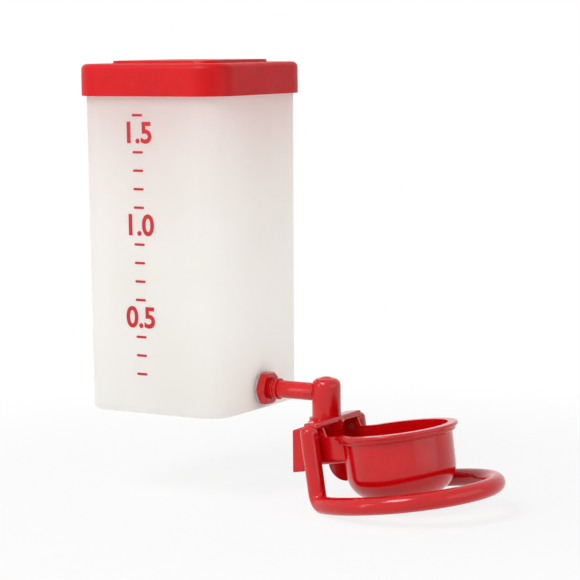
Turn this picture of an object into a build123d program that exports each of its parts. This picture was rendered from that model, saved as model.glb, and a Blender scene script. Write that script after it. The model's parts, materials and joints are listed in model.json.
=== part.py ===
from build123d import *
import math
import os

# Gravity waterer for poultry: a square tank with a lift-off lid feeds a red drinking cup
# through a short pipe and elbow. The cup hangs on two pins in a ring guard and tips as it
# fills, which pushes a stem up and shuts the water off. A spring lifts it again.
# Millimetres, +Z up. Origin: centre of the tank's flat base. +X: from the tank to the cup.

# ---- tank and lid -------------------------------------------------------------------
TANK_HALF_TOP = 50.0
TANK_DRAFT = 0.25            # degrees, wider towards the top
TANK_HEIGHT = 209.0
TANK_CORNER_R = 15.0
TANK_WALL = 1.8
TANK_BASE_EDGE_R = 2.5
LID_GAP = 0.3                # between tank and lid all round
LID_SEAT_GAP = 0.2           # above the tank's rim
LID_WALL = 2.6
LID_SKIRT = 17.2             # how far the skirt reaches down the tank
LID_PLATE = 2.0
LID_EDGE_R = 3.5
PANEL_RISE = 1.7             # raised panel in the middle of the lid
PANEL_INSET = 15.0
VENT_D = 3.0

# ---- outlet through the tank wall ---------------------------------------------------
OUTLET_Z = 13.25
THREAD_D = 13.0
THREAD_PITCH = 1.5
THREAD_DEPTH = 0.5
THREAD_OUT = 12.4            # threaded length outside the tank wall
PIPE_D = 10.8
PIPE_WALL = 2.2
PIPE_BORE = PIPE_D - 2 * PIPE_WALL
FLANGE_D = 22.0
FLANGE_T = 3.0
WASHER_T = 2.0
GASKET_D = 20.2
GASKET_T = 1.8
NUT_ACROSS_CORNERS = 21.6
NUT_T = 4.8
HOLE_GAP = 0.2               # thread to hole, nut and washers

# ---- elbow --------------------------------------------------------------------------
ELBOW_X = 94.0               # valve axis, from the middle of the tank
ELBOW_D = 17.4
ELBOW_TOP = 23.3
ELBOW_FOOT = -1.5
ELBOW_SHOULDER_R = 4.6
ELBOW_CROWN = 1.0
SOCKET_DEPTH = 4.6           # how far the pipe enters the elbow
SOCKET_GAP = 0.1
DROP_BORE = 7.0
SEAL_WIRE = 1.44             # O-ring section, as squeezed

# ---- valve --------------------------------------------------------------------------
SPIGOT_D = 12.0
SPIGOT_UP = 7.8              # above the elbow's foot
VALVE_FLANGE_D = 19.6
VALVE_FLANGE_T = 3.6
VALVE_D = 15.0
SEAT_D = 8.6                 # valve chamber bore, which the seat is pressed into
VALVE_BOTTOM = -13.5
VALVE_BORE = 4.4
SEAT_Z = 3.0                 # top of the rubber seat
SEAT_T = 2.0
SEAL_D = 7.0
SEAL_T = 1.8
CLOSED_GAP = 0.15
HEAD_T = 1.5
STEM_D = 3.0
STEM_GAP = 0.12
NOSE_D = 2.2
CAP_PLUG = 3.0
CAP_T = 2.0
CAP_HOLE_D = 1.6
CAP_HOLES = 4
SPRING_COIL_D = 8.4
SPRING_WIRE = 0.6
SPRING_TURNS = 4

# ---- tipped frame of guard and cup ---------------------------------------------------
TIP = 8.3                    # degrees that the guard and the empty cup point upwards
# the values below are measured in that frame, from the point where the valve axis meets z = 0
BRIDGE_TOP = -1.5
BRIDGE_T = 3.5
BRIDGE_FRONT = 9.5
BOSS_D = VALVE_FLANGE_D + 1.4
ROD_D = 10.6
ARM_X = 3.65
ARM_Y = 29.3
ARM_TOP = -3.2
EAR_R = 3.6
GUARD_Z = -49.4
GUARD_HALF = 45.6            # half-width of the ring, to the rod's centre
GUARD_CENTRE_X = 51.8
GUARD_REACH = 50.4           # from the ring's centre to its tip
GUARD_SPREAD = 35.0          # degrees between each arm's foot and +X
GUARD_BEND_R = 6.5
TAB_BACK = 72.1              # the wall tab, in the tank's own frame
TAB_FRONT = 80.5
TAB_TOP = -10.9
TAB_BOTTOM = -37.0
TAB_T = 8.0

# ---- cup ----------------------------------------------------------------------------
CUP_X = 45.9
RIM_Z = -10.9
RIM_R = 36.9
RIM_T = 2.2
STEP_R = 35.3
STEP_T = 3.0
WALL_TOP_R = 33.2
WALL_LOW_R = 32.7
BOWL_R = 17.5
CUP_DEPTH = 41.1
CUP_WALL = 1.8
HINGE_X = 5.0
HINGE_Z = -10.5
PIN_D = 4.0
PIN_GAP = 0.05
CHEEK_Y = 22.5               # outer face of the trough behind the bowl
CHEEK_WALL = 2.0
TROUGH_BACK = -12.7
TROUGH_BACK_Y = 10.5         # the trough's narrow rear, around the valve
TROUGH_STEP_X = -1.5
TROUGH_FLOOR = -27.5
TROUGH_BACK_TOP = -14.0
KEEL_X = 4.0                 # rounded belly under the trough
KEEL_DROP = 11.5
KEEL_T = 24.0
FLANGE_ROOM = 1.4            # beside the valve's flange
STOP_GAP = 0.2
BEARING_D = 8.0
BEARING_GAP = 0.3
SEAT_X = -2.7                # spring seat on the trough's floor
SEAT_TOP = -22.5
SEAT_DISC_D = 13.0
SEAT_DISC_T = 1.4
SEAT_POST_D = 7.0
SCREW_D = 2.8
SCREW_HEAD_D = 6.4
SCREW_HEAD_T = 2.2
TIP_GAP = 0.3                # stem tip to spring seat

# ---- worked out ---------------------------------------------------------------------
TIP_RAD = math.radians(TIP)
BRIDGE_UNDER = BRIDGE_TOP - BRIDGE_T
CLAMP_Z = ELBOW_FOOT - BRIDGE_T
LID_BOTTOM = TANK_HEIGHT + LID_SEAT_GAP - LID_SKIRT
LID_TOP = TANK_HEIGHT + LID_SEAT_GAP + LID_PLATE
LID_HALF = TANK_HALF_TOP + LID_GAP + LID_WALL


def tank_half(z):
    return TANK_HALF_TOP - (TANK_HEIGHT - z) * math.tan(math.radians(TANK_DRAFT))


WALL_OUT = tank_half(OUTLET_Z + GASKET_D / 2)
WALL_IN = tank_half(OUTLET_Z - FLANGE_D / 2) - TANK_WALL
GASKET_OUT = WALL_OUT + GASKET_T
PIPE_END = ELBOW_X - ELBOW_D / 2 + SOCKET_DEPTH
FLANGE_IN = WALL_IN - WASHER_T - FLANGE_T
HINGE_WORLD_X = ELBOW_X + HINGE_X * math.cos(TIP_RAD) - HINGE_Z * math.sin(TIP_RAD)
HINGE_WORLD_Z = HINGE_X * math.sin(TIP_RAD) + HINGE_Z * math.cos(TIP_RAD)


def seat_height(angle):
    """Height of the spring seat's face on the valve axis, with the cup pointing up by angle."""
    drop = (HINGE_Z - SEAT_TOP) / math.cos(angle)
    return HINGE_WORLD_Z - drop - (HINGE_WORLD_X - ELBOW_X) * math.tan(angle)


STEM_LIFT = seat_height(0) - seat_height(TIP_RAD)
STEM_TIP = seat_height(TIP_RAD) + TIP_GAP
SEAL_TOP = SEAT_Z - SEAT_T - CLOSED_GAP - STEM_LIFT


def tipped(shape):
    """Place a shape drawn in the tipped frame."""
    return Pos(ELBOW_X, 0, 0) * Rot(0, -TIP, 0) * shape


def on_valve_axis(shape):
    return Pos(ELBOW_X, 0, 0) * shape


def disc(diameter, low, high):
    return Pos(0, 0, low) * Cylinder(diameter / 2, high - low, align=(Align.CENTER, Align.CENTER, Align.MIN))


def rod_along_x(diameter, start, end):
    bar = Cylinder(diameter / 2, end - start, align=(Align.CENTER, Align.CENTER, Align.MIN))
    return Pos(start, 0, OUTLET_Z) * Rot(0, 90, 0) * bar


def rod_along_y(diameter, x, z, start, end):
    bar = Cylinder(diameter / 2, abs(end - start))
    return Pos(x, (start + end) / 2, z) * Rot(90, 0, 0) * bar


def block(x0, x1, y0, y1, z0, z1):
    box = Box(x1 - x0, y1 - y0, z1 - z0)
    return Pos((x0 + x1) / 2, (y0 + y1) / 2, (z0 + z1) / 2) * box


def square_prism(half_low, half_high, corner, low, high):
    bottom = Pos(0, 0, low) * RectangleRounded(2 * half_low, 2 * half_low, corner)
    top = Pos(0, 0, high) * RectangleRounded(2 * half_high, 2 * half_high, corner)
    return loft([bottom, top])


def o_ring(centre_radius):
    return Torus(centre_radius, SEAL_WIRE / 2)


# ---- tank and lid -------------------------------------------------------------------
def tank():
    outer = square_prism(tank_half(0), TANK_HALF_TOP, TANK_CORNER_R, 0, TANK_HEIGHT)
    outer = fillet(outer.faces().sort_by(Axis.Z)[0].edges(), TANK_BASE_EDGE_R)
    floor_half = tank_half(TANK_WALL) - TANK_WALL
    corner = TANK_CORNER_R - TANK_WALL
    inner = square_prism(floor_half, TANK_HALF_TOP - TANK_WALL, corner, TANK_WALL, TANK_HEIGHT)
    hole = rod_along_x(THREAD_D + HOLE_GAP, WALL_IN - 5, WALL_OUT + 5)
    return outer - inner - hole


def lid():
    corner = TANK_CORNER_R + LID_GAP + LID_WALL
    outer = square_prism(LID_HALF, LID_HALF, corner, LID_BOTTOM, LID_TOP)
    outer = fillet(outer.faces().sort_by(Axis.Z)[-1].edges(), LID_EDGE_R)
    panel_half = LID_HALF - PANEL_INSET
    panel = square_prism(panel_half, panel_half - PANEL_RISE / 2, TANK_CORNER_R - 3, LID_TOP - 1, LID_TOP + PANEL_RISE)
    inner_half = TANK_HALF_TOP + LID_GAP
    inner_corner = TANK_CORNER_R + LID_GAP
    inner = square_prism(inner_half, inner_half, inner_corner, LID_BOTTOM, LID_TOP - LID_PLATE)
    vent = Pos(-panel_half / 2, 0, 0) * disc(VENT_D, LID_TOP - LID_PLATE - 1, LID_TOP + PANEL_RISE + 1)
    return outer + panel - inner - vent


# ---- outlet -------------------------------------------------------------------------
def outlet_pipe():
    flange = rod_along_x(FLANGE_D, FLANGE_IN, FLANGE_IN + FLANGE_T)
    thread_end = WALL_OUT + THREAD_OUT
    body = flange + rod_along_x(THREAD_D, FLANGE_IN, thread_end) + rod_along_x(PIPE_D, FLANGE_IN, PIPE_END)
    first_groove = GASKET_OUT + THREAD_PITCH / 2
    count = int((thread_end - first_groove) / THREAD_PITCH)
    for turn in range(count):
        at = first_groove + turn * THREAD_PITCH
        width = THREAD_PITCH / 2
        body -= rod_along_x(THREAD_D + 1, at, at + width) - rod_along_x(THREAD_D - 2 * THREAD_DEPTH, at, at + width)
    groove_x = PIPE_END - SOCKET_DEPTH / 2
    groove_d = PIPE_D + 2 * SOCKET_GAP - 2 * SEAL_WIRE
    start, end = groove_x - SEAL_WIRE * 0.6, groove_x + SEAL_WIRE * 0.6
    body -= rod_along_x(PIPE_D + 1, start, end) - rod_along_x(groove_d, start, end)
    return body - rod_along_x(PIPE_BORE, FLANGE_IN - 1, PIPE_END + 1)


def pipe_seal():
    centre_radius = PIPE_D / 2 + SOCKET_GAP - SEAL_WIRE / 2
    return Pos(PIPE_END - SOCKET_DEPTH / 2, 0, OUTLET_Z) * Rot(0, 90, 0) * o_ring(centre_radius)


def ring_along_x(outer, start, end):
    ring = rod_along_x(outer, start, end)
    return ring - rod_along_x(THREAD_D + HOLE_GAP, start - 1, end + 1)


def tank_washer():
    return ring_along_x(FLANGE_D - 1, WALL_IN - WASHER_T, WALL_IN)


def tank_gasket():
    return ring_along_x(GASKET_D, WALL_OUT, GASKET_OUT)


def lock_nut():
    hexagon = extrude(RegularPolygon(NUT_ACROSS_CORNERS / 2, 6, rotation=30), NUT_T)
    hexagon = Pos(GASKET_OUT, 0, OUTLET_Z) * Rot(0, 90, 0) * hexagon
    reach = NUT_ACROSS_CORNERS / 2
    cone = Cone(reach + NUT_T, reach * 0.86, NUT_T + reach * 0.14, align=(Align.CENTER, Align.CENTER, Align.MIN))
    front = Pos(GASKET_OUT - reach * 0.14, 0, OUTLET_Z) * Rot(0, 90, 0) * cone
    hexagon = hexagon & front
    return hexagon - rod_along_x(THREAD_D + HOLE_GAP, GASKET_OUT - 1, GASKET_OUT + NUT_T + 1)


# ---- elbow and valve ----------------------------------------------------------------
def elbow():
    radius = ELBOW_D / 2
    crown_z = ELBOW_TOP - ELBOW_CROWN
    shoulder_z = crown_z - ELBOW_SHOULDER_R
    flat = radius - ELBOW_SHOULDER_R
    slant = ELBOW_SHOULDER_R * math.sqrt(0.5)
    crown_r = (flat ** 2 + ELBOW_CROWN ** 2) / (2 * ELBOW_CROWN)
    crown_mid = ELBOW_TOP - crown_r + math.sqrt(crown_r ** 2 - flat ** 2 / 4)
    with BuildPart() as solid:
        with BuildSketch(Plane.XZ):
            with BuildLine():
                Line((0, ELBOW_FOOT), (radius, ELBOW_FOOT))
                Line((radius, ELBOW_FOOT), (radius, shoulder_z))
                ThreePointArc((radius, shoulder_z), (flat + slant, shoulder_z + slant), (flat, crown_z))
                ThreePointArc((flat, crown_z), (flat / 2, crown_mid), (0, ELBOW_TOP))
                Line((0, ELBOW_TOP), (0, ELBOW_FOOT))
            make_face()
        revolve(axis=Axis.Z)
    body = on_valve_axis(solid.part)
    body -= rod_along_x(PIPE_D + 2 * SOCKET_GAP, ELBOW_X - radius - 1, PIPE_END + SOCKET_GAP)
    body -= rod_along_x(PIPE_BORE, PIPE_END - 1, ELBOW_X)
    body -= on_valve_axis(disc(DROP_BORE, ELBOW_FOOT - 1, OUTLET_Z + DROP_BORE / 2))
    body -= on_valve_axis(disc(SPIGOT_D + 2 * SOCKET_GAP, ELBOW_FOOT - 1, ELBOW_FOOT + SPIGOT_UP + SOCKET_GAP))
    return body


def elbow_seal():
    centre_radius = SPIGOT_D / 2 + SOCKET_GAP - SEAL_WIRE / 2
    return on_valve_axis(Pos(0, 0, ELBOW_FOOT + SPIGOT_UP / 2) * o_ring(centre_radius))


def valve_body():
    body = disc(SPIGOT_D, CLAMP_Z - 1, ELBOW_FOOT + SPIGOT_UP)
    body += disc(VALVE_FLANGE_D, CLAMP_Z - VALVE_FLANGE_T, CLAMP_Z)
    body += disc(VALVE_D, VALVE_BOTTOM, CLAMP_Z - VALVE_FLANGE_T + 1)
    groove_z = ELBOW_FOOT + SPIGOT_UP / 2
    groove_d = SPIGOT_D + 2 * SOCKET_GAP - 2 * SEAL_WIRE
    low, high = groove_z - SEAL_WIRE * 0.6, groove_z + SEAL_WIRE * 0.6
    body -= disc(SPIGOT_D + 1, low, high) - disc(groove_d, low, high)
    body -= disc(VALVE_BORE, VALVE_BOTTOM - 1, ELBOW_FOOT + SPIGOT_UP + 1)
    body -= disc(SEAT_D, VALVE_BOTTOM - 1, SEAT_Z)
    return on_valve_axis(body)


def valve_seat():
    ring = disc(SEAT_D, SEAT_Z - SEAT_T, SEAT_Z)
    return on_valve_axis(ring - disc(VALVE_BORE, SEAT_Z - SEAT_T - 1, SEAT_Z + 1))


def stem_seal():
    ring = disc(SEAL_D, SEAL_TOP - SEAL_T, SEAL_TOP)
    return on_valve_axis(ring - disc(NOSE_D, SEAL_TOP - SEAL_T - 1, SEAL_TOP + 1))


def valve_stem():
    head_top = SEAL_TOP - SEAL_T
    stem = disc(NOSE_D, head_top - 1, SEAL_TOP + SEAT_T)
    stem += disc(SEAL_D, head_top - HEAD_T, head_top)
    stem += disc(STEM_D, STEM_TIP, head_top)
    tip_edge = stem.faces().sort_by(Axis.Z)[0].edges()
    return on_valve_axis(fillet(tip_edge, STEM_D * 0.4))


def valve_cap():
    plug_d = SEAT_D
    cap = disc(plug_d, VALVE_BOTTOM, VALVE_BOTTOM + CAP_PLUG) + disc(VALVE_D, VALVE_BOTTOM - CAP_T, VALVE_BOTTOM)
    cap -= disc(STEM_D + 2 * STEM_GAP, VALVE_BOTTOM - CAP_T - 1, VALVE_BOTTOM + CAP_PLUG + 1)
    hole_ring = (STEM_D + 2 * STEM_GAP + plug_d) / 4
    for hole in PolarLocations(hole_ring, CAP_HOLES):
        cap -= hole * disc(CAP_HOLE_D, VALVE_BOTTOM - CAP_T - 1, VALVE_BOTTOM + CAP_PLUG + 1)
    return on_valve_axis(cap)


def return_spring():
    top = VALVE_BOTTOM - CAP_T - SPRING_WIRE / 2
    lean = SPRING_COIL_D / 2 * math.tan(TIP_RAD)
    bottom = seat_height(TIP_RAD) + lean + SPRING_WIRE
    height = top - bottom
    path = Helix(pitch=height / SPRING_TURNS, height=height, radius=SPRING_COIL_D / 2)
    profile = Plane(path @ 0, z_dir=path % 0) * Circle(SPRING_WIRE / 2)
    return on_valve_axis(Pos(0, 0, bottom) * sweep(profile, path=path))


# ---- guard --------------------------------------------------------------------------
def guard_path(side):
    """Centre line of half the guard, from the top of one arm to the ring's tip."""
    spread = math.radians(GUARD_SPREAD)
    along = Vector(math.cos(spread), side * math.sin(spread), 0)
    up = Vector(0, 0, 1)
    foot = Vector(ARM_X, side * ARM_Y, GUARD_Z)
    bend_start = foot + up * GUARD_BEND_R
    bend_end = foot + along * GUARD_BEND_R
    bend_mid = foot + (along + up) * (GUARD_BEND_R * (1 - math.sqrt(0.5)))
    leg_r = (GUARD_HALF - side * bend_end.Y) / (1 - math.cos(spread))
    half = spread / 2
    turn = Vector(math.sin(spread) - math.sin(half), side * (math.cos(half) - math.cos(spread)), 0)
    leg_mid = bend_end + turn * leg_r
    leg_end = Vector(bend_end.X + leg_r * math.sin(spread), side * GUARD_HALF, GUARD_Z)
    widest = Vector(GUARD_CENTRE_X, side * GUARD_HALF, GUARD_Z)
    start = 0 if side > 0 else 270
    nose = EllipticalCenterArc((0, 0), GUARD_REACH, GUARD_HALF, start_angle=start, arc_size=90)
    nose = Pos(GUARD_CENTRE_X, 0, GUARD_Z) * nose
    return [
        Line((foot.X, foot.Y, ARM_TOP - ROD_D / 2), bend_start),
        ThreePointArc(bend_start, bend_mid, bend_end),
        ThreePointArc(bend_end, leg_mid, leg_end),
        Line(leg_end, widest),
        nose.edges()[0],
    ]


def guard_rod(side):
    path = Wire(guard_path(side))
    section = Plane((ARM_X, side * ARM_Y, ARM_TOP - ROD_D / 2), z_dir=(0, 0, -1)) * Circle(ROD_D / 2)
    ear = disc(ROD_D, ARM_TOP - ROD_D / 2, ARM_TOP)
    ear = fillet(ear.faces().sort_by(Axis.Z)[-1].edges(), EAR_R)
    return sweep(section, path=path) + Pos(ARM_X, side * ARM_Y, 0) * ear


def wall_tab():
    reach = ELBOW_X - BOSS_D / 2
    outline = Polyline(
        (TAB_BACK, TAB_BOTTOM), (TAB_FRONT, TAB_BOTTOM + 1.4), (TAB_FRONT, CLAMP_Z - 7),
        (reach + 0.4, CLAMP_Z - 4.5), (reach + 0.4, CLAMP_Z), (reach + 2, CLAMP_Z), (reach + 2, ELBOW_FOOT),
        (TAB_FRONT + 0.5, TAB_TOP + 3.2), (TAB_BACK, TAB_TOP), close=True,
    )
    plate = extrude(Plane.XZ * make_face(outline), TAB_T / 2, both=True)
    return plate


def guard_frame():
    rear = ARM_X - ROD_D / 2
    half = ARM_Y - ROD_D / 3
    bridge = block(rear, BRIDGE_FRONT, -half, half, BRIDGE_UNDER, BRIDGE_TOP)
    bridge = fillet(bridge.edges().filter_by(Axis.Y).group_by(Axis.Z)[-1], 1.0)
    frame = tipped(guard_rod(1) + guard_rod(-1) + bridge)
    frame += on_valve_axis(disc(BOSS_D, CLAMP_Z, ELBOW_FOOT))
    frame += wall_tab()
    frame -= on_valve_axis(disc(ELBOW_D + 2 * SOCKET_GAP, ELBOW_FOOT, ELBOW_FOOT + 5))
    frame -= on_valve_axis(disc(VALVE_FLANGE_D + 2 * SOCKET_GAP, CLAMP_Z - 5, CLAMP_Z))
    frame -= on_valve_axis(disc(SPIGOT_D + 2 * SOCKET_GAP, CLAMP_Z - 1, ELBOW_FOOT + 1))
    for pin in pin_bars(PIN_D):
        frame -= pin
    return frame


def pin_bars(diameter):
    inner = CHEEK_Y - 1.5 * CHEEK_WALL - STOP_GAP
    outer = ARM_Y + ROD_D / 5
    return [tipped(rod_along_y(diameter, HINGE_X, HINGE_Z, side * inner, side * outer)) for side in (-1, 1)]


def pivot_pins():
    return Compound(pin_bars(PIN_D))


# ---- cup ----------------------------------------------------------------------------
def bowl_solid(inset, top):
    """Solid of revolution under the rim, pulled in by inset all round."""
    floor_z = RIM_Z - CUP_DEPTH + inset
    bend = BOWL_R - inset
    low_r = WALL_LOW_R - inset
    centre_z = floor_z + bend
    slant = bend * math.sqrt(0.5)
    with BuildPart() as solid:
        with BuildSketch(Plane.XZ):
            with BuildLine():
                Line((0, top), (WALL_TOP_R - inset, top))
                Line((WALL_TOP_R - inset, top), (low_r, centre_z))
                ThreePointArc((low_r, centre_z), (low_r - bend + slant, centre_z - slant), (low_r - bend, floor_z))
                Line((low_r - bend, floor_z), (0, floor_z))
                Line((0, floor_z), (0, top))
            make_face()
        revolve(axis=Axis.Z)
    return Pos(CUP_X, 0, 0) * solid.part


def rim_ring():
    flange = disc(2 * RIM_R, RIM_Z - RIM_T, RIM_Z)
    flange = fillet(flange.edges(), RIM_T * 0.42)
    step = disc(2 * STEP_R, RIM_Z - RIM_T - STEP_T, RIM_Z - RIM_T + 0.5)
    step = fillet(step.faces().sort_by(Axis.Z)[0].edges(), STEP_R - WALL_TOP_R - 0.1)
    return Pos(CUP_X, 0, 0) * (flange + step)


def cheek_outline():
    """Side view of the trough beside the valve: the lower stop, the upper stop, then the rim."""
    low_stop = BRIDGE_UNDER - 1.1
    high_stop = BRIDGE_UNDER - STOP_GAP
    return Polyline(
        (TROUGH_STEP_X, TROUGH_FLOOR), (CUP_X / 2, TROUGH_FLOOR), (CUP_X / 2, RIM_Z), (BRIDGE_FRONT + 1, RIM_Z),
        (BRIDGE_FRONT - 0.5, high_stop), (HINGE_X + 1.5, high_stop), (HINGE_X + 0.5, low_stop),
        (TROUGH_STEP_X, low_stop), close=True,
    )


def trough():
    front = extrude(Plane.XZ * make_face(cheek_outline()), CHEEK_Y, both=True)
    front = fillet(front.edges().filter_by(Axis.X).group_by(Axis.Z)[0], 4.0)
    rear = block(TROUGH_BACK, 0, -TROUGH_BACK_Y, TROUGH_BACK_Y, TROUGH_FLOOR, TROUGH_BACK_TOP)
    rear = fillet(rear.edges().filter_by(Axis.Z).group_by(Axis.X)[0], 3.0)
    return front + rear + keel()


def keel():
    """Solid belly that carries the trough's floor down into the bowl."""
    wall_x = CUP_X - WALL_LOW_R + 1
    low_z = TROUGH_FLOOR - KEEL_DROP
    face = make_face([
        Line((KEEL_X, TROUGH_FLOOR), (wall_x + 3, TROUGH_FLOOR)),
        Line((wall_x + 3, TROUGH_FLOOR), (wall_x + 3, low_z)),
        Line((wall_x + 3, low_z), (wall_x, low_z)),
        ThreePointArc((wall_x, low_z), (KEEL_X + 2.6, low_z + KEEL_DROP * 0.35), (KEEL_X, TROUGH_FLOOR)),
    ])
    belly = extrude(Plane.XZ * face, KEEL_T / 2, both=True)
    return belly - bowl_solid(CUP_WALL, 0)


def trough_hollow():
    floor = TROUGH_FLOOR + CHEEK_WALL
    front_y = CHEEK_Y - CHEEK_WALL
    rear_y = TROUGH_BACK_Y - CHEEK_WALL
    front = block(TROUGH_STEP_X + CHEEK_WALL, CUP_X, -front_y, front_y, floor, 0)
    front = fillet(front.edges().filter_by(Axis.X).group_by(Axis.Z)[0], 2.5)
    rear = block(TROUGH_BACK + CHEEK_WALL, CHEEK_WALL, -rear_y, rear_y, floor, 0)
    flange_y = VALVE_FLANGE_D / 2 + FLANGE_ROOM
    above = block(TROUGH_STEP_X - 1, CHEEK_WALL, -flange_y, flange_y, TROUGH_BACK_TOP, 0)
    return front + rear + above


def cup():
    body = trough() + bowl_solid(0, RIM_Z - RIM_T) + rim_ring()
    body = body - bowl_solid(CUP_WALL, 0) - trough_hollow()
    for side in (-1, 1):
        inner = CHEEK_Y - 1.5 * CHEEK_WALL
        outer = ARM_Y - ROD_D / 2 - BEARING_GAP
        body += rod_along_y(BEARING_D, HINGE_X, HINGE_Z, side * inner, side * outer)
        body -= rod_along_y(PIN_D + 2 * PIN_GAP, HINGE_X, HINGE_Z, side * (inner - 2), side * (outer + 2))
    body -= Pos(SEAT_X, 0, 0) * disc(SCREW_D + 0.2, TROUGH_FLOOR - 1, TROUGH_FLOOR + 5)
    return tipped(body)


def spring_seat():
    seat = disc(SEAT_DISC_D, SEAT_TOP - SEAT_DISC_T, SEAT_TOP)
    seat += disc(SEAT_POST_D, TROUGH_FLOOR + CHEEK_WALL, SEAT_TOP - SEAT_DISC_T)
    seat -= disc(SCREW_D, TROUGH_FLOOR, SEAT_TOP - SEAT_DISC_T)
    return tipped(Pos(SEAT_X, 0, 0) * seat)


def seat_screw():
    head = disc(SCREW_HEAD_D, TROUGH_FLOOR - SCREW_HEAD_T, TROUGH_FLOOR)
    head = fillet(head.faces().sort_by(Axis.Z)[0].edges(), SCREW_HEAD_T * 0.8)
    shank = disc(SCREW_D, TROUGH_FLOOR - 0.5, SEAT_TOP - SEAT_DISC_T)
    slot = block(-SCREW_HEAD_D, SCREW_HEAD_D, -0.4, 0.4, TROUGH_FLOOR - SCREW_HEAD_T - 1, TROUGH_FLOOR - SCREW_HEAD_T + 1)
    return tipped(Pos(SEAT_X, 0, 0) * (head + shank - slot))


PARTS = [
    tank, lid, outlet_pipe, pipe_seal, tank_washer, tank_gasket, lock_nut, elbow, elbow_seal, valve_body,
    valve_seat, stem_seal, valve_stem, valve_cap, return_spring, guard_frame, pivot_pins, cup, spring_seat,
    seat_screw,
]

os.makedirs("parts", exist_ok=True)
for make in PARTS:
    export_step(make(), "parts/" + make.__name__ + ".step")

hinge = (round(HINGE_WORLD_X, 4), round(HINGE_WORLD_Z, 4))
print("hinge x, z:", hinge, "tip degrees:", TIP, "stem lift:", round(STEM_LIFT, 4))
print("lid half:", round(LID_HALF, 3), "lid z:", LID_BOTTOM, LID_TOP + PANEL_RISE)
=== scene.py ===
# %% [markdown]
# A gravity waterer for poultry: a milky square tank, a red lid, and a red drinking cup that
# tips in a ring guard. The CAD model arrives as a fixed frame in metres. This lesson gives its
# surfaces their finish, rounds the guard's inner corners and prints a level scale on the tank.

# %% Load the frame
import json
import math

import bmesh
import bpy
from mathutils import Matrix, Vector


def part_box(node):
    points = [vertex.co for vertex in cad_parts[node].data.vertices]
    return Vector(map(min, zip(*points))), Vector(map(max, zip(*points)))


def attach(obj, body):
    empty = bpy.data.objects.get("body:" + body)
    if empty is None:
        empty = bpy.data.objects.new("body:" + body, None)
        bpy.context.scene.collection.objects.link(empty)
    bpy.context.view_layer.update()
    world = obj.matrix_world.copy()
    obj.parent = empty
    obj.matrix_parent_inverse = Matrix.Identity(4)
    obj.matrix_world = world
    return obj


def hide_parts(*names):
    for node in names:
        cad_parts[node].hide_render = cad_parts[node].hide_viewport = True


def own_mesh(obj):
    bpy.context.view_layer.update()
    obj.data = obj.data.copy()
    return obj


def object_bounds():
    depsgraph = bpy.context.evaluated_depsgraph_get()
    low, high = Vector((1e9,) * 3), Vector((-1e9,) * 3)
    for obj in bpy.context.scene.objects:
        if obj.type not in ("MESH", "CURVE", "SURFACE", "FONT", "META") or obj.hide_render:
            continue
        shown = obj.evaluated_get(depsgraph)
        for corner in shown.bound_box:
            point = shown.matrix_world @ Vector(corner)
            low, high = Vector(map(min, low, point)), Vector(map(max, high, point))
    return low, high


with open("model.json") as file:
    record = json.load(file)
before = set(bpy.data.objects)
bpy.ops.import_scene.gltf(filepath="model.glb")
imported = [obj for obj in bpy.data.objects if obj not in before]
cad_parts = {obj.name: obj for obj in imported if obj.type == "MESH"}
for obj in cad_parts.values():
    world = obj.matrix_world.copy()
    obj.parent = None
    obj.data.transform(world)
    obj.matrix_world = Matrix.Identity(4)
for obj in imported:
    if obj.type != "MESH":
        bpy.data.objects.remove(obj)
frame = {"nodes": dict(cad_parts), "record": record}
cad_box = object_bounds()
nodes = frame["nodes"]
MM = 0.001
print("nodes:", len(nodes), "CAD box:", [[round(v, 4) for v in corner] for corner in cad_box])

# %% [markdown]
# Camera. It stands a little above the lid and looks down by a few degrees, from the corner
# between the tank's front and the cup's side. A long lens keeps the tank's upright edges
# nearly parallel.

# %% Camera
CAMERA_AZIMUTH = 30.551
CAMERA_PITCH = 6.62
CAMERA_ROLL = -0.584
CAMERA_RIGHT = 58.97 * MM
CAMERA_UP = 70.34 * MM
CAMERA_BACK = 1356.7 * MM
CAMERA_LENS = 134.86


def camera_axes(azimuth, pitch, roll):
    """Right, up and back directions of a camera that turns by roll about its own line of sight."""
    a, e, r = (math.radians(v) for v in (azimuth, pitch, roll))
    back = Vector((math.sin(a) * math.cos(e), -math.cos(a) * math.cos(e), math.sin(e)))
    level = Vector((math.cos(a), math.sin(a), 0))
    above = back.cross(level)
    right = level * math.cos(r) + above * math.sin(r)
    up = above * math.cos(r) - level * math.sin(r)
    return right, up, back


def add_camera():
    right, up, back = camera_axes(CAMERA_AZIMUTH, CAMERA_PITCH, CAMERA_ROLL)
    camera = bpy.data.objects.new("camera", bpy.data.cameras.new("camera"))
    camera.data.lens = CAMERA_LENS
    camera.data.sensor_width = 36
    place = right * CAMERA_RIGHT + up * CAMERA_UP + back * CAMERA_BACK
    turn = Matrix((right, up, back)).transposed().to_4x4()
    camera.matrix_world = Matrix.Translation(place) @ turn
    bpy.context.scene.collection.objects.link(camera)
    bpy.context.scene.camera = camera
    return place


camera_place = add_camera()
print("camera stands at", [round(v, 3) for v in camera_place])

# %% [markdown]
# Colours are written as sRGB hex values, as a paint chart gives them, and one function turns
# them to the linear values that a shader works in. One more function adds a shader node.

# %% Colour and node helpers


def linear(code):
    """An sRGB hex value as linear red, green, blue and alpha."""
    out = []
    for start in (0, 2, 4):
        value = int(code[start:start + 2], 16) / 255
        out.append(value / 12.92 if value <= 0.04045 else ((value + 0.055) / 1.055) ** 2.4)
    return (*out, 1.0)


def add(tree, kind, inputs=None, **settings):
    """Add a shader node; an input is a plain value or another node's output."""
    new = tree.nodes.new(kind)
    for name, value in settings.items():
        setattr(new, name, value)
    for name, value in (inputs or {}).items():
        if isinstance(value, bpy.types.NodeSocket):
            tree.links.new(value, new.inputs[name])
        else:
            new.inputs[name].default_value = value
    return new


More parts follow.
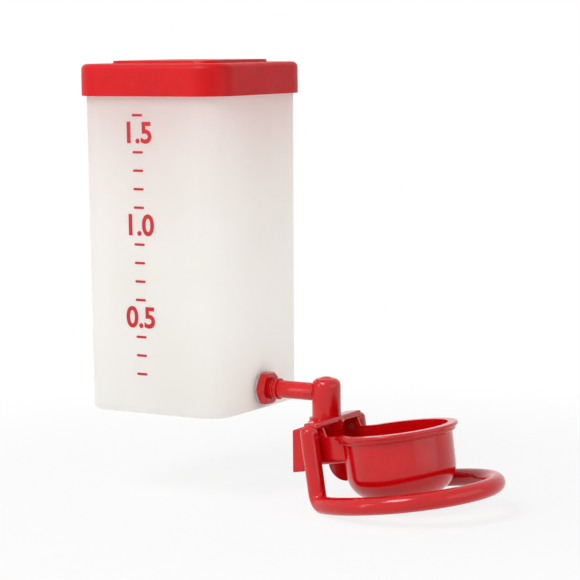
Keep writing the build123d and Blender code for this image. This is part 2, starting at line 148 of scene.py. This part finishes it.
def new_material(name):
    material = bpy.data.materials.new(name)
    material.use_nodes = True
    material.node_tree.nodes.clear()
    return material, material.node_tree


def place_mm(tree):
    """Object coordinates in millimetres, so that a pattern's scale is its real size."""
    coords = add(tree, "ShaderNodeTexCoord").outputs["Object"]
    scale = (1 / MM, 1 / MM, 1 / MM)
    return add(tree, "ShaderNodeMapping", {"Vector": coords, "Scale": scale}).outputs["Vector"]


def noise(tree, where, size_mm, detail=2.0):
    """Noise whose features are about size_mm across."""
    settings = {"Vector": where, "Scale": 1 / size_mm, "Detail": detail}
    return add(tree, "ShaderNodeTexNoise", settings).outputs["Fac"]


def spread(tree, value, low, high):
    """Map a 0.3 to 0.7 noise value to the range low to high."""
    inputs = {"Value": value, "From Min": 0.3, "From Max": 0.7, "To Min": low, "To Max": high}
    return add(tree, "ShaderNodeMapRange", inputs).outputs["Result"]


def two_tone(tree, factor, first, second):
    mix = add(tree, "ShaderNodeMix", data_type="RGBA")
    tree.links.new(factor, mix.inputs["Factor"])
    mix.inputs[6].default_value = linear(first)
    mix.inputs[7].default_value = linear(second)
    return mix.outputs[2]


def bumps(tree, height, depth_mm, normal=None):
    inputs = {"Height": height, "Distance": depth_mm * MM, "Strength": 1.0}
    if normal is not None:
        inputs["Normal"] = normal
    return add(tree, "ShaderNodeBump", inputs).outputs["Normal"]


def finish_material(tree, inputs):
    shader = add(tree, "ShaderNodeBsdfPrincipled", inputs)
    add(tree, "ShaderNodeOutputMaterial", {"Surface": shader.outputs["BSDF"]})


# %% [markdown]
# Red polypropylene. The pipe, elbow, guard and cup are injection moulded in a polished tool and
# coloured all through. That gives a strong even red, a clear gloss with soft reflections,
# faint sink waves a few centimetres long, and a very fine skin grain. The lid comes from a
# blasted tool, so the same function makes it satin: a wider roughness, a deeper grain, and a
# gloss under the neutral 0.5.

# %% Red moulded plastic


def red_plastic(name, rough_low, rough_high, gloss, grain_mm):
    material, tree = new_material(name)
    where = place_mm(tree)
    tone = two_tone(tree, spread(tree, noise(tree, where, 14), 0, 1), "DE0610", "D2040D")
    rough = spread(tree, noise(tree, where, 5, 3), rough_low, rough_high)
    waves = bumps(tree, noise(tree, where, 16, 0), 0.06)
    grain = bumps(tree, noise(tree, where, 0.5, 2), grain_mm, waves)
    finish_material(tree, {
        "Base Color": tone, "Roughness": rough, "IOR": 1.49, "Specular IOR Level": gloss, "Normal": grain,
    })
    return material


# %% [markdown]
# Milky polyethylene. The tank's wall is under two millimetres of unpigmented plastic. Most of
# the light goes through it and is scattered on the way, so the inside glows and evens out the
# four walls. A waxy skin is mixed with a translucent layer for this. A subsurface shader was
# the other way, and it left the shaded side too dark. Long shallow waves show where the wall
# cooled unevenly.

# %% Milky polyethylene
LIGHT_THROUGH = 0.82


def milky_polyethylene():
    material, tree = new_material("milky_polyethylene")
    where = place_mm(tree)
    tone = two_tone(tree, spread(tree, noise(tree, where, 40), 0, 1), "FDFDFC", "FBFBF9")
    rough = spread(tree, noise(tree, where, 9, 3), 0.38, 0.48)
    waves = bumps(tree, noise(tree, where, 35, 0), 0.2)
    grain = bumps(tree, noise(tree, where, 0.8, 2), 0.006, waves)
    skin_look = {"Base Color": tone, "Roughness": rough, "IOR": 1.51, "Normal": grain}
    skin = add(tree, "ShaderNodeBsdfPrincipled", skin_look)
    through = add(tree, "ShaderNodeBsdfTranslucent", {"Color": tone, "Normal": grain})
    wall = add(tree, "ShaderNodeMixShader", {0: LIGHT_THROUGH, 1: skin.outputs[0], 2: through.outputs[0]})
    add(tree, "ShaderNodeOutputMaterial", {"Surface": wall.outputs[0]})
    return material


# %% [markdown]
# Silicone and nitrile rubber. The gaskets are cut from greyish silicone that lets some light
# through. The O-rings and the stem's seal are black nitrile with a dull moulded skin.

# %% Silicone and nitrile rubber


def clear_silicone():
    material, tree = new_material("clear_silicone")
    where = place_mm(tree)
    tone = two_tone(tree, spread(tree, noise(tree, where, 3), 0, 1), "D9D4D0", "C6C0BC")
    grain = bumps(tree, noise(tree, where, 0.3), 0.01)
    finish_material(tree, {
        "Base Color": tone, "Roughness": 0.42, "IOR": 1.41, "Normal": grain,
        "Subsurface Weight": 0.6, "Subsurface Radius": (1.0, 0.95, 0.9), "Subsurface Scale": 2 * MM,
    })
    return material


def nitrile_rubber():
    material, tree = new_material("black_nitrile_rubber")
    where = place_mm(tree)
    tone = two_tone(tree, spread(tree, noise(tree, where, 1.5), 0, 1), "1B1B1C", "262627")
    grain = bumps(tree, noise(tree, where, 0.25), 0.012)
    finish_material(tree, {"Base Color": tone, "Roughness": 0.55, "IOR": 1.52, "Normal": grain})
    return material


# %% [markdown]
# Stainless steel and acetal. The pins, spring and screw are drawn or turned steel with fine
# lines along their length. The stem, cap and spring seat are white acetal, a hard slippery
# plastic with a low sheen.

# %% Stainless steel and acetal


def stainless_steel():
    material, tree = new_material("drawn_stainless_steel")
    where = place_mm(tree)
    tone = two_tone(tree, spread(tree, noise(tree, where, 2), 0, 1), "C4C4C6", "AEAEB2")
    rough = spread(tree, noise(tree, where, 0.4, 3), 0.22, 0.36)
    lines = bumps(tree, noise(tree, where, 0.2), 0.004)
    finish_material(tree, {"Base Color": tone, "Metallic": 1.0, "Roughness": rough, "Normal": lines})
    return material


def white_acetal():
    material, tree = new_material("white_acetal")
    where = place_mm(tree)
    tone = two_tone(tree, spread(tree, noise(tree, where, 4), 0, 1), "EDEDE8", "E4E4DE")
    grain = bumps(tree, noise(tree, where, 0.4), 0.006)
    finish_material(tree, {
        "Base Color": tone, "Roughness": 0.34, "IOR": 1.48, "Normal": grain,
        "Subsurface Weight": 0.2, "Subsurface Radius": (1.0, 1.0, 0.95), "Subsurface Scale": 1 * MM,
    })
    return material


# %% [markdown]
# Each CAD node takes the finish of its material slot. The lid shares the red slot with the
# cup, but it comes from a blasted tool, so it alone takes the satin red.

# %% Give every node its finish
FINISHES = {
    "red_plastic": red_plastic("red_gloss_polypropylene", 0.12, 0.18, 0.5, 0.0012),
    "lid": red_plastic("red_satin_polypropylene", 0.42, 0.52, 0.3, 0.005),
    "tank_polyethylene": milky_polyethylene(),
    "clear_silicone": clear_silicone(),
    "black_rubber": nitrile_rubber(),
    "stainless_steel": stainless_steel(),
    "white_acetal": white_acetal(),
}
slot_of = {part["node"]: part["material_slot"] for part in frame["record"]["subparts"]}
for name, node in nodes.items():
    node.data.materials.clear()
    node.data.materials.append(FINISHES["lid" if name == "lid" else slot_of[name]])
print("finishes:", sorted(FINISHES))

# %% [markdown]
# Guard. It is a single moulding, and a mould never leaves a knife edge where a rod meets a
# bridge. The visual piece starts as a copy of the CAD shape. A voxel remesh turns the copy
# into small even squares, and a few rounds of smoothing then melt each sharp inner corner to
# a small fillet. The holes stay where they are. The cup keeps its CAD shape, because its
# bearings run on the pins with a twentieth of a millimetre to spare, which is finer than the
# squares of a remesh.

# %% Moulded edges


def applied(piece):
    """Turn a piece's modifiers into plain mesh."""
    depsgraph = bpy.context.evaluated_depsgraph_get()
    final = bpy.data.meshes.new_from_object(piece.evaluated_get(depsgraph))
    piece.modifiers.clear()
    piece.data = final
    return piece


def moulded_copy(node_name, piece_name, voxel_mm, rounds):
    node = nodes[node_name]
    mesh = node.data.copy()
    mesh.transform(node.matrix_world)
    piece = bpy.data.objects.new(piece_name, mesh)
    bpy.context.scene.collection.objects.link(piece)
    remesh = piece.modifiers.new("even squares", "REMESH")
    remesh.mode = "VOXEL"
    remesh.voxel_size = voxel_mm * MM
    remesh.use_smooth_shade = True
    soft = piece.modifiers.new("fillets", "SMOOTH")
    soft.factor = 0.5
    soft.iterations = rounds
    applied(piece)
    piece.data.materials.clear()
    piece.data.materials.append(FINISHES["red_plastic"])
    print(piece_name, "faces:", len(piece.data.polygons))
    return piece


guard = moulded_copy("guard_frame", "moulded_guard", 0.55, 6)
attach(guard, "tank_and_valve")
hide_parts("guard_frame")

# %% [markdown]
# Return spring. It is a coil of 0.6 mm wire between the valve's cap and the spring
# seat. A real compression spring closes its first and last turns so that they lie flat. The
# wire's centre line is worked out point by point with a pitch that fades to nothing at both
# ends, and a bevelled curve gives it its round section.

# %% Return spring
WIRE = 0.6
TURNS = 5.5
POINTS_PER_TURN = 24


def add_spring():
    low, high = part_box("return_spring")
    middle = (low + high) / 2
    radius = (high.x - low.x) / 2 - WIRE / 2 * MM
    count = int(TURNS * POINTS_PER_TURN)
    curve = bpy.data.curves.new("coil", "CURVE")
    curve.dimensions = "3D"
    curve.bevel_depth = WIRE / 2 * MM
    curve.bevel_resolution = 3
    curve.use_fill_caps = True
    line = curve.splines.new("POLY")
    line.points.add(count)
    bottom = low.z + WIRE / 2 * MM
    rise = high.z - low.z - WIRE * MM
    for step in range(count + 1):
        share = step / count
        flat_ends = share - math.sin(2 * math.pi * share) / (2 * math.pi)
        turn = 2 * math.pi * TURNS * share
        x = middle.x + radius * math.cos(turn)
        y = middle.y + radius * math.sin(turn)
        line.points[step].co = (x, y, bottom + rise * flat_ends, 1)
    holder = bpy.data.objects.new("coil", curve)
    bpy.context.scene.collection.objects.link(holder)
    depsgraph = bpy.context.evaluated_depsgraph_get()
    mesh = bpy.data.meshes.new_from_object(holder.evaluated_get(depsgraph))
    bpy.data.objects.remove(holder)
    mesh.shade_smooth()
    mesh.materials.clear()
    mesh.materials.append(FINISHES["stainless_steel"])
    spring = bpy.data.objects.new("coiled_spring", mesh)
    bpy.context.scene.collection.objects.link(spring)
    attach(spring, "tank_and_valve")
    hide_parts("return_spring")
    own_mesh(spring)


add_spring()

# %% [markdown]
# Level scale. The tank's front carries a plain printed scale, with a tick for each tenth of a
# litre and a number in place of the tick at each half litre. The heights are worked out from the tank's inner
# width, draft and corner radius. Screen ink lies a tenth of a millimetre proud, so ticks and numbers
# are thin raised shapes, and a real letter outline is kept for the numbers.

# %% Red screen ink


def screen_ink():
    material, tree = new_material("red_screen_ink")
    where = place_mm(tree)
    tone = two_tone(tree, spread(tree, noise(tree, where, 2), 0, 1), "CF1420", "C20E19")
    grain = bumps(tree, noise(tree, where, 0.3), 0.01)
    finish_material(tree, {"Base Color": tone, "Roughness": 0.42, "IOR": 1.5, "Normal": grain})
    return material


ink = screen_ink()

# %% [markdown]
# A mark is only useful where the water really stands. The inside is a square with round
# corners that grows a little with height, so its area changes. Water is poured in as slices a
# tenth of a millimetre thick until the wanted volume is reached, which needs no formula for
# the tapered solid.

# %% Where a volume stands on the tank's front
MM3_PER_LITRE = 1e6
TANK_BASE_HALF = 49.09
TANK_DRAFT = math.radians(0.25)
TANK_WALL = 1.8
INNER_CORNER = 13.2
SLICE = 0.1
INK_PROUD = 0.1
SCALE_X = -6.0


def water_area(z):
    """Area of the water's surface in square mm at height z in mm: a square with round corners."""
    side = 2 * (TANK_BASE_HALF + z * math.tan(TANK_DRAFT) - TANK_WALL)
    return side ** 2 - (4 - math.pi) * INNER_CORNER ** 2


def water_height(litres):
    """Height in mm of the water's surface, found by pouring the water in as thin slices."""
    z = TANK_WALL
    poured = 0
    while poured < litres * MM3_PER_LITRE:
        poured += water_area(z) * SLICE
        z += SLICE
    return z


def front_face(z):
    """The tank's front is at this Y, in mm, at height z in mm."""
    return -(TANK_BASE_HALF + z * math.tan(TANK_DRAFT))


print("half litre marks in mm:", [round(water_height(v), 1) for v in (0.5, 1.0, 1.5)])

# %% [markdown]
# The ticks. Each is a bar with round ends: a loop of corner points is turned into a face, and
# the face is pushed into the wall behind it, so that the ink has a thickness and no gap shows.
# The top tick is the last one that clears the lid's skirt.

# %% Ticks of the scale
TICK_LONG = 7.5
FIRST_TENTH = 2
LAST_TENTH = 16
NUMBERED_TENTHS = 5
TICK_THICK = 1.5
ROUND_STEPS = 6


def tick_outline(length):
    """Corner points of a bar with round ends, as pairs along and across."""
    radius = TICK_THICK / 2
    points = []
    for side in (1, -1):
        for step in range(ROUND_STEPS + 1):
            turn = math.radians(90 - 180 * step / ROUND_STEPS)
            along = length / 2 - radius + radius * math.cos(turn)
            points.append((side * along, side * radius * math.sin(turn)))
    return points


def add_ticks():
    shape = bmesh.new()
    for tenth in range(FIRST_TENTH, LAST_TENTH + 1):
        if tenth % NUMBERED_TENTHS == 0:
            continue
        z = water_height(tenth / 10)
        outline = tick_outline(TICK_LONG)
        points = [(SCALE_X + u, front_face(z + v) - INK_PROUD, z + v) for u, v in outline]
        top = shape.faces.new([shape.verts.new(Vector(point) * MM) for point in points])
        pushed = bmesh.ops.extrude_face_region(shape, geom=[top])["geom"]
        moved = [part for part in pushed if isinstance(part, bmesh.types.BMVert)]
        bmesh.ops.translate(shape, verts=moved, vec=(0, 1.5 * INK_PROUD * MM, 0))
    bmesh.ops.recalc_face_normals(shape, faces=shape.faces)
    mesh = bpy.data.meshes.new("scale_ticks")
    shape.to_mesh(mesh)
    shape.free()
    mesh.materials.append(ink)
    ticks = bpy.data.objects.new("scale_ticks", mesh)
    bpy.context.scene.collection.objects.link(ticks)
    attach(ticks, "tank_and_valve")
    return ticks


print("tick faces:", len(add_ticks().data.polygons))

# %% [markdown]
# The numbers stand upright on the wall, one below the other, as on a measuring jug. A text
# object keeps a true letter outline. It is swollen a little to a bolder stroke, as printed
# numbers have, and leans outwards with the tank's draft.

# %% Numbers of the scale
NUMBER_HIGH = 13.0
FONT_SIZE_PER_HEIGHT = 1.35
BOLDER = 0.45


def add_number(litres):
    words = bpy.data.curves.new(f"scale_number_{litres}", "FONT")
    words.body = str(litres)
    words.align_x = "CENTER"
    words.align_y = "CENTER"
    words.size = NUMBER_HIGH * MM * FONT_SIZE_PER_HEIGHT
    words.offset = BOLDER * MM
    words.extrude = INK_PROUD * MM
    words.materials.append(ink)
    number = bpy.data.objects.new(words.name, words)
    z = water_height(litres)
    number.location = Vector((SCALE_X, front_face(z), z)) * MM
    number.rotation_euler.x = math.pi / 2 + TANK_DRAFT
    bpy.context.scene.collection.objects.link(number)
    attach(number, "tank_and_valve")


for mark in (0.5, 1.0, 1.5):
    add_number(mark)

# %% [markdown]
# Stage and light. The floor and the world show as plain white. Near the object the floor is
# partly a matte surface, so it keeps a soft shadow, and further out it turns to pure white.
# Camera, glossy and transmission rays all see that white, so shiny parts mirror it too.

# %% White floor
FLOOR_DROP = 0.4 * MM
SHADOW_REACH = 0.28
MATTE_NEAR = 0.16


def sees_background(tree):
    """1 for camera, glossy and transmission rays, which see the background; 0 for light on the object."""
    path = add(tree, "ShaderNodeLightPath")
    first = {0: path.outputs["Is Camera Ray"], 1: path.outputs["Is Glossy Ray"]}
    seen = add(tree, "ShaderNodeMath", first, operation="MAXIMUM")
    both = {0: seen.outputs[0], 1: path.outputs["Is Transmission Ray"]}
    return add(tree, "ShaderNodeMath", both, operation="MAXIMUM").outputs[0]


def white_stage():
    material, tree = new_material("white_stage")
    centre = add(tree, "ShaderNodeTexCoord").outputs["Object"]
    far = add(tree, "ShaderNodeVectorMath", {0: centre}, operation="LENGTH")
    reach = {"Value": far.outputs["Value"], "From Min": 0.5 * SHADOW_REACH, "From Max": 1.6 * SHADOW_REACH,
             "To Min": 1 - MATTE_NEAR, "To Max": 1.0}
    plain = add(tree, "ShaderNodeMapRange", reach)
    share = add(tree, "ShaderNodeMath", {0: sees_background(tree), 1: plain.outputs[0]}, operation="MULTIPLY")
    glow = add(tree, "ShaderNodeEmission", {"Color": (1, 1, 1, 1), "Strength": 1.0})
    matte = add(tree, "ShaderNodeBsdfDiffuse", {"Color": linear("F4F4F4")})
    mix = add(tree, "ShaderNodeMixShader", {0: share.outputs[0], 1: matte.outputs[0], 2: glow.outputs[0]})
    add(tree, "ShaderNodeOutputMaterial", {"Surface": mix.outputs[0]})
    return material


def add_floor():
    mesh = bpy.data.meshes.new("floor")
    shape = bmesh.new()
    bmesh.ops.create_grid(shape, x_segments=1, y_segments=1, size=6)
    shape.to_mesh(mesh)
    shape.free()
    floor = bpy.data.objects.new("floor", mesh)
    floor.location = ((cad_box[0][0] + cad_box[1][0]) / 2, 0, cad_box[0][2] - FLOOR_DROP)
    mesh.materials.append(white_stage())
    bpy.context.scene.collection.objects.link(floor)


add_floor()

# %% [markdown]
# The light is that of a plain studio. The world gives an even fill. A soft lamp above the
# front is the key. A narrow upright strip at the front left draws a line of light along the
# pipe and the elbow, and a wide panel at the right lays a patch of light on the cup's wall.

# %% World and lamps
AMBIENT = 0.36
LAMPS = {
    # name: place, point it looks at, width, height (all in metres), watts
    "key": ((-0.12, -0.85, 1.05), (0.05, 0, 0.05), 0.5, 0.5, 8.8),
    "strip": ((-0.62, -1.05, 0.22), (0.05, 0, 0.02), 0.07, 0.6, 1.1),
    "panel": ((0.75, -0.05, 0.16), (0.14, 0, -0.02), 0.62, 0.42, 0.6),
}


def add_world():
    world = bpy.data.worlds.new("studio")
    world.use_nodes = True
    tree = world.node_tree
    tree.nodes.clear()
    fill_to_white = {"Value": sees_background(tree), "To Min": AMBIENT, "To Max": 1.0}
    level = add(tree, "ShaderNodeMapRange", fill_to_white)
    glow = add(tree, "ShaderNodeBackground", {"Color": (1, 1, 1, 1), "Strength": level.outputs[0]})
    add(tree, "ShaderNodeOutputWorld", {"Surface": glow.outputs[0]})
    bpy.context.scene.world = world


def add_lamp(name, place, aim, width, height, power):
    data = bpy.data.lights.new(name, "AREA")
    data.shape = "RECTANGLE"
    data.size = width
    data.size_y = height
    data.energy = power
    lamp = bpy.data.objects.new(name, data)
    lamp.location = place
    lamp.rotation_euler = (Vector(aim) - Vector(place)).to_track_quat("-Z", "Y").to_euler()
    bpy.context.scene.collection.objects.link(lamp)


add_world()
for lamp_name, settings in LAMPS.items():
    add_lamp(lamp_name, *settings)
bpy.context.scene.view_settings.view_transform = "Standard"
